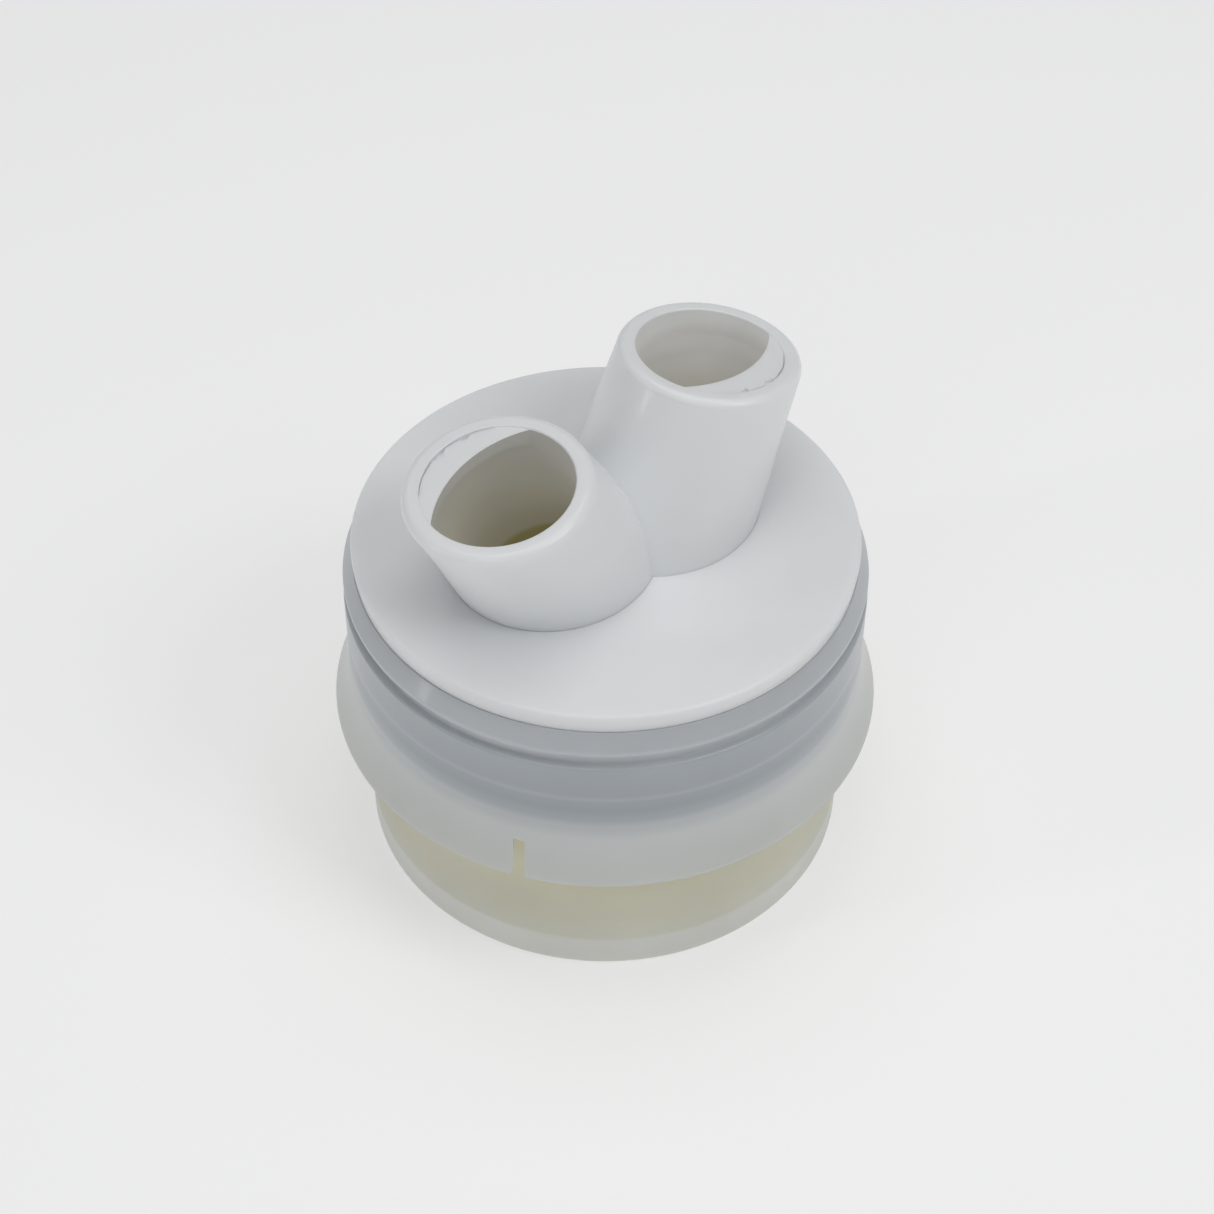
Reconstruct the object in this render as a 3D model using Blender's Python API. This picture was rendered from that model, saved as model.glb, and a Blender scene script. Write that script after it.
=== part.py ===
"""A round stopper with two splayed hose ports and a gravity-closed one-way valve inside.

Metres, +Z up. The origin is the centre of the stopper's base, and the ports splay along X.
The pieces, from the top: port_cap with cap_oring turns on lip_ring; lip_ring and the cap pull
off the collar; the collar pulls off the plug; inside, the poppet lifts off its seat in the core.
"""

import math

import bmesh
import bpy
from mathutils import Vector

MM = 0.001
WELD = 1e-6
GAP = 0.3           # between pieces that touch, in mm like every size below

STEPS_OUTER = 48    # facets round the pieces that show
STEPS_INNER = 36
STEPS_SMALL = 24
STEPS_PORT = 36

# Cap: a disc with a spigot under it.
DISC_R = 25.0
DISC_TOP = 37.2
DISC_EDGE_H = 2.1
DISC_THICK = 3.5
SPIGOT_R = 23.2
SPIGOT_BORE_R = 20.6
SPIGOT_END = 26.6
ORING_R = 0.85
ORING_Z = 29.7
ORING_GROOVE_H = 2.2
ORING_GROOVE_R = 21.6

# Ports: stacks of circles that lie parallel to the mouth, along a more slanted axis.
PORT_BASE_OUT = 6.4                 # from the cap's axis to the port's, at the disc's top
PORT_BASE_TURN = math.radians(-8)   # round the cap's axis, from the mouth's direction
PORT_MOUTH_OUT = 13.9
PORT_H = 14.75
PORT_BASE_R = 9.9
PORT_MOUTH_R = 9.05
LIP_ROUND = 0.9
MOUTH_TILT = math.radians(9)
BORE_MOUTH_R = 7.25
BORE_BASE_R = 6.2
WEB_DIRECTION = math.radians(-84)   # round the bore, from the way the port leans
WEB_WIDTH = 0.40                    # of the bore's radius, at its widest
WEB_ARC = 1.6                       # radius of the web's inner edge, in bore radii
WEB_TOP = 0.15                      # below the lip
WEB_THICK = 2.5
WEB_STEP = 0.04                     # the hair of web left all round the opening

# Lip ring, between the cap's edge and the collar.
RING_TOP = DISC_TOP - DISC_EDGE_H - GAP
RING_END = 32.9
RING_TOP_R = 24.9
RING_R = 25.95

# Collar: a neck, a straight wall and a flared skirt.
BORE_R = 23.6
COLLAR_TOP = RING_END - GAP
NECK_R = 25.2
NECK_END = 31.3
WALL_R = 26.0
FLARE_TOP = 22.9
SKIRT_R = 27.8
SKIRT_END = 16.3
SKIRT_LAND = 0.9
RIM_RECESS_TOP = 19.4
LEDGE_R = 20.4
LEDGE_END = 24.6
LEDGE_TOP = 26.2
NOTCH_ANGLE = math.radians(-151.5)
NOTCH_W = 1.3
NOTCH_TOP = 20.2

# Plug: the soft sleeve round the core.
PLUG_NECK_R = 23.25
PLUG_TOP = 22.0
WAIST_END = 12.4
BAND_TOP = 4.1
BAND_R = 24.7
PLUG_ROUND = 0.8

# Core, the rigid tube that the plug is stretched over.
CORE_R = 18.0
CORE_BORE_R = 14.6
CORE_END = 0.6
FLANGE_R = 22.9
FLANGE_TOP = 24.3
BEAD_R = 19.2
BEAD_LOW = 3.4
BEAD_HIGH = 5.0
POCKET_R = 16.0
POCKET_FLOOR = 18.8
SNAP_GROOVE_R = 16.9

# Valve: a seat plate with a guide hub, held on a gasket by a snap ring, and a poppet
# with a soft washer.
GASKET_THICK = 0.8
SEAT_LOW = POCKET_FLOOR + GAP + GASKET_THICK + GAP
SEAT_TOP = SEAT_LOW + 2.0
SNAP_THICK = 0.9
SNAP_BORE_R = 13.4
SNAP_SPLIT = 5.0
HUB_END = SEAT_TOP - 4.8
HUB_R = 3.8
GUIDE_R = 2.0
STEM_R = 1.9
VENT_COUNT = 8
VENT_R = 1.9
VENT_CIRCLE = 8.4
WASHER_R = 12.2
WASHER_THICK = 1.2
POPPET_R = 10.5
POPPET_THICK = 1.2
LIFT = 2.5
CLIP_R = 3.4
CLIP_THICK = 0.8


def clear_scene():
    for obj in list(bpy.data.objects):
        bpy.data.objects.remove(obj, do_unlink=True)


def material(name, colour, roughness, alpha=1.0):
    made = bpy.data.materials.new(name)
    made.use_nodes = True
    shader = made.node_tree.nodes["Principled BSDF"]
    shader.inputs["Base Color"].default_value = (*colour, 1.0)
    shader.inputs["Roughness"].default_value = roughness
    shader.inputs["Metallic"].default_value = 0.0
    shader.inputs["Alpha"].default_value = alpha
    made.diffuse_color = (*colour, alpha)
    return made


def finished(name, bm, mat, parent=None):
    """Make the bmesh an object, with its faces pointing out and its round sides smooth."""
    bmesh.ops.recalc_face_normals(bm, faces=bm.faces)
    mesh = bpy.data.meshes.new(name)
    bm.to_mesh(mesh)
    bm.free()
    mesh.shade_smooth()
    mesh.set_sharp_from_angle(angle=math.radians(35))
    obj = bpy.data.objects.new(name, mesh)
    bpy.context.collection.objects.link(obj)
    if mat:
        mesh.materials.append(mat)
    if parent:
        obj.parent = parent
        obj.matrix_parent_inverse = parent.matrix_world.inverted()
    return obj


def turned(name, outline, steps, mat, parent):
    """Spin a closed outline of (radius, height) points about Z. One that starts on the axis ends on it."""
    bm = bmesh.new()
    points = [bm.verts.new((radius * MM, 0, height * MM)) for radius, height in outline]
    following = points[1:] if outline[0][0] == 0 else points[1:] + points[:1]
    edges = [bm.edges.new(pair) for pair in zip(points, following)]
    bmesh.ops.spin(
        bm, geom=points + edges, cent=(0, 0, 0), axis=(0, 0, 1), angle=math.tau, steps=steps
    )
    bmesh.ops.remove_doubles(bm, verts=bm.verts, dist=WELD)
    return finished(name, bm, mat, parent)


def lofted(name, rings, mat=None):
    """Join rings of equal point count by quads, and close both ends."""
    bm = bmesh.new()
    made = [[bm.verts.new(point * MM) for point in ring] for ring in rings]
    for low, high in zip(made, made[1:]):
        for i in range(len(low)):
            j = (i + 1) % len(low)
            bm.faces.new((low[i], low[j], high[j], high[i]))
    bm.faces.new(made[0])
    bm.faces.new(made[-1])
    return finished(name, bm, mat)


def boolean(target, other, operation):
    modifier = target.modifiers.new(f"{operation} {other.name}".lower(), "BOOLEAN")
    modifier.operation = operation
    modifier.object = other
    other.hide_render = True
    other.display_type = "WIRE"


def joint(name, height, parent=None):
    """An empty on the Z axis, where a moving body's joint is."""
    empty = bpy.data.objects.new(name, None)
    empty.empty_display_size = 5 * MM
    empty.location = (0, 0, height * MM)
    bpy.context.collection.objects.link(empty)
    bpy.context.view_layer.update()
    if parent:
        empty.parent = parent
        empty.matrix_parent_inverse = parent.matrix_world.inverted()
    bpy.context.view_layer.update()
    return empty


def circle_section(radius, height, section, count):
    """The outline of an O-ring: its outer side runs from top to bottom."""
    return [
        (
            radius + section * math.sin(math.tau * i / count),
            height + section * math.cos(math.tau * i / count),
        )
        for i in range(count)
    ]


def curve(start, end, power, count):
    """Points from start to end, whose radius changes slowly at first and then faster."""
    (r0, z0), (r1, z1) = start, end
    return [
        (r0 + (r1 - r0) * (i / count) ** power, z0 + (z1 - z0) * i / count)
        for i in range(count + 1)
    ]


def port_ring(side, along, radius, lift=0.0):
    """A circle parallel to the port's mouth. along is 0 at the disc's top and 1 at the mouth,
    lift is added square to the mouth, and radius may depend on the angle."""
    turn = PORT_BASE_TURN
    base = Vector((PORT_BASE_OUT * math.cos(turn), PORT_BASE_OUT * math.sin(turn), DISC_TOP))
    mouth = Vector((PORT_MOUTH_OUT, 0, DISC_TOP + PORT_H))
    centre = base + (mouth - base) * along
    outward = Vector((math.cos(MOUTH_TILT), 0, -math.sin(MOUTH_TILT)))
    normal = Vector((math.sin(MOUTH_TILT), 0, math.cos(MOUTH_TILT)))
    ring = []
    for i in range(STEPS_PORT):
        angle = math.tau * i / STEPS_PORT
        reach = radius(angle) if callable(radius) else radius
        across = outward * math.cos(angle) + Vector((0, 1, 0)) * math.sin(angle)
        point = centre + across * reach + normal * lift
        ring.append(Vector((side * point.x, side * point.y, point.z)))
    return ring


def port_shell(side):
    """The port's outer cone, from inside the disc up to its rounded lip."""
    below = -1.2 / PORT_H
    rings = [port_ring(side, below, PORT_BASE_R)]
    rings.append(port_ring(side, 1, PORT_MOUTH_R, -LIP_ROUND))
    for turn in (30, 60, 90):
        angle = math.radians(turn)
        radius = PORT_MOUTH_R - LIP_ROUND * (1 - math.cos(angle))
        rings.append(port_ring(side, 1, radius, LIP_ROUND * (math.sin(angle) - 1)))
    return lofted("port_shell", rings)


def web_opening(angle):
    """The bore's radius where the web across the mouth has been cut away."""
    reach = BORE_MOUTH_R * WEB_ARC
    shift = BORE_MOUTH_R * (WEB_WIDTH + WEB_ARC - 1)
    turn = angle - WEB_DIRECTION
    arc = math.sqrt(reach**2 - (shift * math.sin(turn)) ** 2) - shift * math.cos(turn)
    return min(BORE_MOUTH_R - WEB_STEP, arc)


def port_bore(side):
    """The cutter for a port's bore, with the web left across its mouth."""
    below = -(DISC_THICK + 1) / PORT_H
    web_low = -WEB_TOP - WEB_THICK
    return lofted(
        "port_bore",
        [
            port_ring(side, below, BORE_BASE_R),
            port_ring(side, 1, BORE_MOUTH_R, web_low),
            port_ring(side, 1, web_opening, web_low),
            port_ring(side, 1, web_opening, -WEB_TOP),
            port_ring(side, 1, BORE_MOUTH_R, -WEB_TOP),
            port_ring(side, 1, BORE_MOUTH_R, 1),
        ],
    )


def port_cap(mat, parent):
    half_groove = ORING_GROOVE_H / 2
    edge_low = DISC_TOP - DISC_EDGE_H
    ceiling = DISC_TOP - DISC_THICK
    outline = [
        (0, DISC_TOP),
        (DISC_R - 0.3, DISC_TOP),
        (DISC_R, DISC_TOP - 0.3),
        (DISC_R - 0.25, edge_low),
        (SPIGOT_R, edge_low),
        (SPIGOT_R, ORING_Z + half_groove),
        (ORING_GROOVE_R, ORING_Z + half_groove),
        (ORING_GROOVE_R, ORING_Z - half_groove),
        (SPIGOT_R, ORING_Z - half_groove),
        (SPIGOT_R, SPIGOT_END + 0.5),
        (SPIGOT_R - 0.5, SPIGOT_END),
        (SPIGOT_BORE_R, SPIGOT_END),
        (SPIGOT_BORE_R, ceiling),
        (0, ceiling),
    ]
    cap = turned("port_cap", outline, STEPS_OUTER, mat, parent)
    for side in (1, -1):
        boolean(cap, port_shell(side), "UNION")
    for side in (1, -1):
        boolean(cap, port_bore(side), "DIFFERENCE")
    return cap


def cap_oring(mat, parent):
    radius = ORING_GROOVE_R + 0.1 + ORING_R
    return turned("cap_oring", circle_section(radius, ORING_Z, ORING_R, 8), STEPS_INNER, mat, parent)


def lip_ring(mat, parent):
    outline = [
        (RING_TOP_R, RING_TOP),
        (RING_R, RING_END + 0.5),
        (RING_R, RING_END + 0.2),
        (RING_R - 0.2, RING_END),
        (BORE_R, RING_END),
        (BORE_R, RING_TOP),
    ]
    return turned("lip_ring", outline, STEPS_OUTER, mat, parent)


def notch_cutter(angle):
    """A slot up the skirt, splayed on one side near the edge."""
    heights = (SKIRT_END - 1, SKIRT_END + 0.9, SKIRT_END + 2.3, NOTCH_TOP)
    splay = (0.5, 0.5, 0.0, 0.0)
    along = Vector((math.cos(angle), math.sin(angle), 0))
    across = Vector((-math.sin(angle), math.cos(angle), 0))
    inner, outer = BORE_R - 0.3, SKIRT_R + 1
    rings = []
    for height, extra in zip(heights, splay):
        low, high = -NOTCH_W / 2 - extra, NOTCH_W / 2
        corners = ((inner, low), (outer, low), (outer, high), (inner, high))
        rings.append([along * x + across * y + Vector((0, 0, height)) for x, y in corners])
    return lofted("notch", rings)


def collar(mat, parent):
    outline = [
        (NECK_R, COLLAR_TOP),
        (NECK_R, NECK_END),
        (WALL_R - 0.2, NECK_END - 0.1),
        (WALL_R, NECK_END - 0.35),
        *curve((WALL_R, FLARE_TOP), (SKIRT_R, SKIRT_END), 1.5, 5),
        (SKIRT_R - SKIRT_LAND, SKIRT_END),
        (SKIRT_R - 2.1, RIM_RECESS_TOP - 0.6),
        (BORE_R, RIM_RECESS_TOP),
        (BORE_R, LEDGE_END),
        (LEDGE_R, LEDGE_END),
        (LEDGE_R, LEDGE_TOP),
        (BORE_R, LEDGE_TOP),
        (BORE_R, COLLAR_TOP),
    ]
    made = turned("collar", outline, STEPS_OUTER, mat, parent)
    for turn in (0, math.pi):
        boolean(made, notch_cutter(NOTCH_ANGLE + turn), "DIFFERENCE")
    return made


def plug(mat, parent):
    bore = CORE_R + GAP
    outline = [
        (PLUG_NECK_R, PLUG_TOP),
        *curve((PLUG_NECK_R, WAIST_END), (BAND_R, BAND_TOP), 1.6, 4),
        (BAND_R, PLUG_ROUND),
        (BAND_R - 0.3 * PLUG_ROUND, 0.3 * PLUG_ROUND),
        (BAND_R - PLUG_ROUND, 0),
        (bore, 0),
        (bore, BEAD_LOW - 0.6),
        (BEAD_R + GAP, BEAD_LOW),
        (BEAD_R + GAP, BEAD_HIGH + GAP),
        (bore, BEAD_HIGH + GAP),
        (bore, PLUG_TOP),
    ]
    return turned("plug", outline, STEPS_OUTER, mat, parent)


def core(mat, parent):
    flange_low = PLUG_TOP + GAP
    outline = [
        (FLANGE_R, FLANGE_TOP),
        (FLANGE_R, flange_low),
        (CORE_R, flange_low),
        (CORE_R, BEAD_HIGH),
        (BEAD_R, BEAD_HIGH),
        (BEAD_R, BEAD_LOW),
        (CORE_R, BEAD_LOW - 0.6),
        (CORE_R, CORE_END),
        (CORE_BORE_R, CORE_END),
        (CORE_BORE_R, POCKET_FLOOR),
        (POCKET_R, POCKET_FLOOR),
        (POCKET_R, SEAT_TOP),
        (SNAP_GROOVE_R, SEAT_TOP),
        (SNAP_GROOVE_R, SEAT_TOP + SNAP_THICK + 2 * GAP),
        (POCKET_R, SEAT_TOP + SNAP_THICK + 2 * GAP),
        (POCKET_R, FLANGE_TOP),
    ]
    return turned("core", outline, STEPS_INNER, mat, parent)


def seat_gasket(mat, parent):
    low = POCKET_FLOOR + GAP
    outer = POCKET_R - GAP
    outline = [
        (outer, low + GASKET_THICK),
        (outer, low),
        (CORE_BORE_R + 0.1, low),
        (CORE_BORE_R + 0.1, low + GASKET_THICK),
    ]
    return turned("seat_gasket", outline, STEPS_INNER, mat, parent)


def snap_ring(mat, parent):
    """A flat split ring that springs into the core's groove over the seat."""
    low = SEAT_TOP + GAP
    outer = SNAP_GROOVE_R - GAP
    outline = [
        (outer, low + SNAP_THICK),
        (outer, low),
        (SNAP_BORE_R, low),
        (SNAP_BORE_R, low + SNAP_THICK),
    ]
    ring = turned("snap_ring", outline, STEPS_INNER, mat, parent)
    half = SNAP_SPLIT / 2
    reach = ((SNAP_BORE_R - 1, -half), (outer + 1, -half), (outer + 1, half), (SNAP_BORE_R - 1, half))
    heights = (low - 1, low + SNAP_THICK + 1)
    split = lofted("split", [[Vector((x, y, height)) for x, y in reach] for height in heights])
    boolean(ring, split, "DIFFERENCE")
    return ring


def vent_cutter(index):
    angle = math.tau * (index + 0.5) / VENT_COUNT
    centre = Vector((math.cos(angle), math.sin(angle), 0)) * VENT_CIRCLE
    rings = []
    for height in (SEAT_LOW - 1, SEAT_TOP + 1):
        turns = [math.tau * i / 12 for i in range(12)]
        rings.append(
            [centre + Vector((VENT_R * math.cos(t), VENT_R * math.sin(t), height)) for t in turns]
        )
    return lofted("vent", rings)


def valve_seat(mat, parent):
    outline = [
        (POCKET_R - GAP, SEAT_TOP),
        (POCKET_R - GAP, SEAT_LOW),
        (HUB_R, SEAT_LOW),
        (HUB_R, HUB_END),
        (GUIDE_R, HUB_END),
        (GUIDE_R, SEAT_TOP),
    ]
    seat = turned("valve_seat", outline, STEPS_SMALL, mat, parent)
    for index in range(VENT_COUNT):
        boolean(seat, vent_cutter(index), "DIFFERENCE")
    return seat


def valve_washer(mat, parent):
    low = SEAT_TOP + GAP
    outline = [
        (WASHER_R - 0.2, low + WASHER_THICK * 0.6),
        (WASHER_R, low + WASHER_THICK * 0.3),
        (WASHER_R - 0.2, low),
        (GUIDE_R + GAP, low),
        (GUIDE_R + GAP, low + WASHER_THICK),
        (POPPET_R - 1, low + WASHER_THICK),
    ]
    return turned("valve_washer", outline, STEPS_SMALL, mat, parent)


def poppet(mat, parent):
    low = SEAT_TOP + GAP + WASHER_THICK + GAP
    top = low + POPPET_THICK
    clip_top = HUB_END - LIFT - GAP
    clip_low = clip_top - CLIP_THICK
    outline = [
        (0, top + 0.6),
        (2.6, top + 0.6),
        (3.2, top),
        (POPPET_R - 0.4, top),
        (POPPET_R, top - 0.4),
        (POPPET_R, low),
        (STEM_R, low),
        (STEM_R, clip_top + GAP),
        (STEM_R - 0.6, clip_top + GAP),
        (STEM_R - 0.6, clip_low - GAP),
        (STEM_R, clip_low - GAP),
        (STEM_R, clip_low - 1.0),
        (STEM_R - 0.8, clip_low - 1.7),
        (0, clip_low - 1.7),
    ]
    return turned("poppet", outline, STEPS_SMALL, mat, parent)


def stem_clip(mat, parent):
    top = HUB_END - LIFT - GAP
    outline = [
        (CLIP_R, top),
        (CLIP_R, top - CLIP_THICK),
        (STEM_R - 0.6 + 0.1, top - CLIP_THICK),
        (STEM_R - 0.6 + 0.1, top),
    ]
    return turned("stem_clip", outline, STEPS_SMALL, mat, parent)


def main():
    clear_scene()
    white = material("white_plastic", (0.72, 0.73, 0.73), 0.42)
    natural = material("natural_plastic", (0.62, 0.64, 0.63), 0.45)
    smoky = material("translucent_plastic", (0.36, 0.40, 0.44), 0.35)
    silicone = material("yellow_silicone", (0.55, 0.53, 0.40), 0.5)
    seal = material("seal_rubber", (0.30, 0.31, 0.32), 0.6)
    steel = material("clip_steel", (0.55, 0.55, 0.56), 0.3)
    steel.node_tree.nodes["Principled BSDF"].inputs["Metallic"].default_value = 1.0

    base = joint("base_body", 0)
    valve = joint("valve_lift_joint", SEAT_TOP, base)
    sleeve = joint("collar_lift_joint", FLANGE_TOP, base)
    ring = joint("ring_lift_joint", COLLAR_TOP, sleeve)
    cap = joint("cap_swivel_joint", RING_TOP, ring)

    plug(silicone, base)
    core(natural, base)
    seat_gasket(seal, base)
    valve_seat(natural, base)
    snap_ring(steel, base)
    valve_washer(silicone, valve)
    poppet(natural, valve)
    stem_clip(steel, valve)
    collar(smoky, sleeve)
    lip_ring(smoky, ring)
    port_cap(white, cap)
    cap_oring(seal, cap)


main()
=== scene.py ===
"""The looks of the twin-port airlock stopper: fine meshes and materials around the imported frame."""

import math

import bmesh
import bpy
from mathutils import Matrix, Vector


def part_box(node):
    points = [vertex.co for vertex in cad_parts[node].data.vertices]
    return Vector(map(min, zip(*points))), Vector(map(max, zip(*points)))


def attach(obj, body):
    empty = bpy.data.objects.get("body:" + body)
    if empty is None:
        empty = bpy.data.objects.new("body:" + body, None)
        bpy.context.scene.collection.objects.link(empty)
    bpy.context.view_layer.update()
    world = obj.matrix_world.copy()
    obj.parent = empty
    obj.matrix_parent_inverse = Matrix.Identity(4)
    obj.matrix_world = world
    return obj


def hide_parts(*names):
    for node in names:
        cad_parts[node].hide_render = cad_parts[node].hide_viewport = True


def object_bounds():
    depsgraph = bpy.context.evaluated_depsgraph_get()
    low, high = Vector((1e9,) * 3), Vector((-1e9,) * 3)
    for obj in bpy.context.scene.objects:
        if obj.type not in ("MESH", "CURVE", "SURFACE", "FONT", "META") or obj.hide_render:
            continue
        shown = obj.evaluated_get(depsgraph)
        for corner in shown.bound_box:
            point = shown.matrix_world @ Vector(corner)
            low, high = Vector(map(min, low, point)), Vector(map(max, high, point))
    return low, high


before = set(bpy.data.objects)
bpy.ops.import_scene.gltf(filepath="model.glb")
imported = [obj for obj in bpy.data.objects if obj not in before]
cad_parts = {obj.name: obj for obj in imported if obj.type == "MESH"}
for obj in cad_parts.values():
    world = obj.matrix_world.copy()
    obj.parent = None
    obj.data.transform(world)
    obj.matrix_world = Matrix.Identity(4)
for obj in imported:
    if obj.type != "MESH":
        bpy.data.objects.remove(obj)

CAD_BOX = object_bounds()
MM = 0.001
GAP = 0.3                           # between the CAD's pieces that touch, in mm like every size below
CLOSER = 0.285                      # how far the ring and the collar rise into that gap
STEPS = 192                         # round a large turned piece
SMALL_STEPS = 96                    # round a small one
ARC_STEPS = 6                       # along a rounded edge of 90 degrees
CURVE_STEPS = 16                    # down the skirt's flare and the plug's waist
PORT_STEPS = 144                    # round a port
SHARP = math.radians(35)            # an edge that turns by more than this stays crisp
UP = Vector((0, 0, 1))


# ---------------------------------------------------------------- sizes, from the frame

def extent(node):
    """A round node's radius and its lowest and highest height, in mm."""
    low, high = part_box(node)
    return high.y / MM, low.z / MM, high.z / MM


DISC_R, SPIGOT_END, LIP_TOP = extent("port_cap")
RING_R, RING_END, RING_TOP = extent("lip_ring")
SKIRT_R, SKIRT_END, COLLAR_TOP = extent("collar")
BAND_R, PLUG_LOW, PLUG_TOP = extent("plug")
FLANGE_R, CORE_END, FLANGE_TOP = extent("core")
GASKET_R, GASKET_LOW, GASKET_TOP = extent("seat_gasket")
SEAT_R, HUB_END, SEAT_TOP = extent("valve_seat")
SNAP_R, SNAP_LOW, SNAP_TOP = extent("snap_ring")
WASHER_R, WASHER_LOW, WASHER_TOP = extent("valve_washer")
POPPET_R, STEM_END, BUTTON_TOP = extent("poppet")
CLIP_R, CLIP_LOW, CLIP_TOP = extent("stem_clip")
ORING_R, ORING_LOW, ORING_TOP = extent("cap_oring")

# Cap: a disc, thicker inside its edge, with a spigot below that holds the O-ring in a groove.
DISC_EDGE_H = 2.1
DISC_EDGE_DRAFT = 0.25
DISC_ROUND = 0.32
DISC_THICK = 3.5
DISC_TOP = RING_TOP + GAP + DISC_EDGE_H
SPIGOT_R = 23.2
SPIGOT_BORE_R = 20.6
ORING_GROOVE_H = 2.2
ORING_GROOVE_R = 21.6
ORING_STEPS = 20                    # round the O-ring's section

# Ports: stacks of circles that lie parallel to the mouth, along a more slanted axis.
PORT_BASE_OUT = 6.4
PORT_BASE_TURN = math.radians(-8)
PORT_MOUTH_OUT = 13.9
PORT_H = 14.75
PORT_BASE_R = 9.9
PORT_MOUTH_R = 9.05
LIP_ROUND = 0.9
MOUTH_TILT = math.radians(9)
SHELL_LOW = -1.2 / PORT_H           # where a port's cone starts, as a share of its height
LIP_INSET = 0.02                    # keeps the round lip inside the CAD's faceted one
BORE_MOUTH_R = 7.25
BORE_BASE_R = 5.8
BORE_ROUND = 0.15                   # softens the bore's edge at the lip
BORE_ROUND_STEPS = 3
BORE_BEND = 4.0                     # how far the bore runs on square to the mouth
BORE_TAPER = 1.7                    # above 1, the bore narrows more toward its base
BEND_STEPS = 16
WEB_DIRECTION = math.radians(-84)   # of the web's middle, round the mouth
WEB_WIDTH = 0.40                    # at its middle, as a share of the bore's radius
WEB_ARC = 1.6                       # its inner edge's radius, as a share of the bore's
WEB_TOP = 0.15                      # below the lip
WEB_THICK = 2.5
WEB_STEP = 0.015                    # keeps the opening's edge off the bore's where there is no web
WEB_UNDER = 1.4                     # rounds the web's lower edge
CREVICE_W = 0.075                   # the fine gap between the web and the lip
CREVICE_DEEP = 0.35
CREVICE_RISE = 0.1                  # its cutter's reach above the web
OVERLAP = 0.01                      # a cutter's reach past a face that it must meet
CREASE_W = 0.055                    # the fine groove round each port's base
CREASE_DEEP = 0.09

# How far the web's torn edge stands back from the lip, by angle from the web's middle.
TORN_EDGE = (
    (-0.80, 0.0),
    (-0.50, 0.02),
    (-0.44, 0.30),
    (-0.37, 0.55),
    (-0.34, 0.14),
    (-0.24, 0.10),
    (-0.10, 0.04),
    (-0.04, 0.28),
    (0.02, 0.58),
    (0.05, 0.24),
    (0.09, 0.38),
    (0.16, 0.06),
    (0.34, 0.10),
    (0.42, 0.02),
    (0.80, 0.0),
)
TORN_STEP = 0.04                    # between the points along that edge, in radians

# Lip ring, and collar: neck, straight wall and flared skirt, with a ledge inside for the core's flange.
RING_TOP_R = 24.9
BORE_R = 23.6
NECK_R = 25.2
NECK_END = 31.3
WALL_R = 26.0
FLARE_TOP = 22.9
FLARE_BEND = 1.5                    # above 1, the skirt turns out more toward its edge
SKIRT_LAND = 0.9
RIM_RECESS_IN = 2.1                 # from the skirt's outside
RIM_RECESS_TOP = 19.4
LEDGE_R = 20.4
LEDGE_END = 24.6
LEDGE_TOP = 26.2
NOTCH_ANGLE = math.radians(-151.5)
NOTCH_W = 1.15
NOTCH_SKEW = math.radians(17)       # the slot's turn from straight in
NOTCH_SPLAY = 0.35                  # how far one side opens out at the skirt's edge
NOTCH_TOP = 20.2

# Plug and core.
PLUG_NECK_R = 23.25
WAIST_END = 12.4
WAIST_BEND = 1.6                    # above 1, the plug widens more toward its band
BAND_TOP = 4.1
CORE_R = 18.0
CORE_BORE_R = 14.6
BEAD_R = 19.2
BEAD_LOW = 3.4
BEAD_HIGH = 5.0
BEAD_SLOPE = 0.6                    # the height of the slope under the bead
POCKET_R = 16.0
POCKET_FLOOR = 18.8
SNAP_GROOVE_R = 16.9

# Valve.
SEAT_LOW = GASKET_TOP + GAP
SNAP_BORE_R = 13.4
SNAP_SPLIT = 5.0
HUB_R = 3.8
GUIDE_R = 2.0
STEM_R = 1.9
VENT_COUNT = 8
VENT_R = 1.9
VENT_CIRCLE = 8.4
VENT_STEPS = 36
VENT_ROUND = 0.2
POPPET_LOW = WASHER_TOP + GAP
POPPET_TOP = BUTTON_TOP - 0.6
BUTTON_R = 2.6
BUTTON_BASE_R = 3.2
CLIP_GROOVE_DEEP = 0.6              # the groove round the stem that holds the clip
CLIP_MOUTH_W = 1.9
CLIP_CLEAR = 0.1                    # between the clip and the groove's floor


# ---------------------------------------------------------------- meshes

def rounded(corners):
    """An outline's points, from corners given as (radius, height) or (radius, height, rounding)."""
    points = []
    for i, corner in enumerate(corners):
        here = Vector(corner[:2])
        if len(corner) == 2:
            points.append(here)
            continue
        before = (Vector(corners[i - 1][:2]) - here).normalized()
        after = (Vector(corners[(i + 1) % len(corners)][:2]) - here).normalized()
        half = before.angle(after) / 2
        reach = corner[2] / math.tan(half)
        centre = here + (before + after).normalized() * corner[2] / math.sin(half)
        start = here + before * reach - centre
        turn = start.angle_signed(here + after * reach - centre)
        count = max(2, round(ARC_STEPS * abs(turn) / (math.pi / 2)))
        for step in range(count + 1):
            angle = -turn * step / count
            cos, sin = math.cos(angle), math.sin(angle)
            points.append(centre + Vector((start.x * cos - start.y * sin, start.x * sin + start.y * cos)))
    return points


def curve(start, end, power):
    """Points from start to end, whose radius changes slowly at first and then faster."""
    (r0, z0), (r1, z1) = start, end
    return [
        (r0 + (r1 - r0) * (i / CURVE_STEPS) ** power, z0 + (z1 - z0) * i / CURVE_STEPS)
        for i in range(CURVE_STEPS + 1)
    ]


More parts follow.
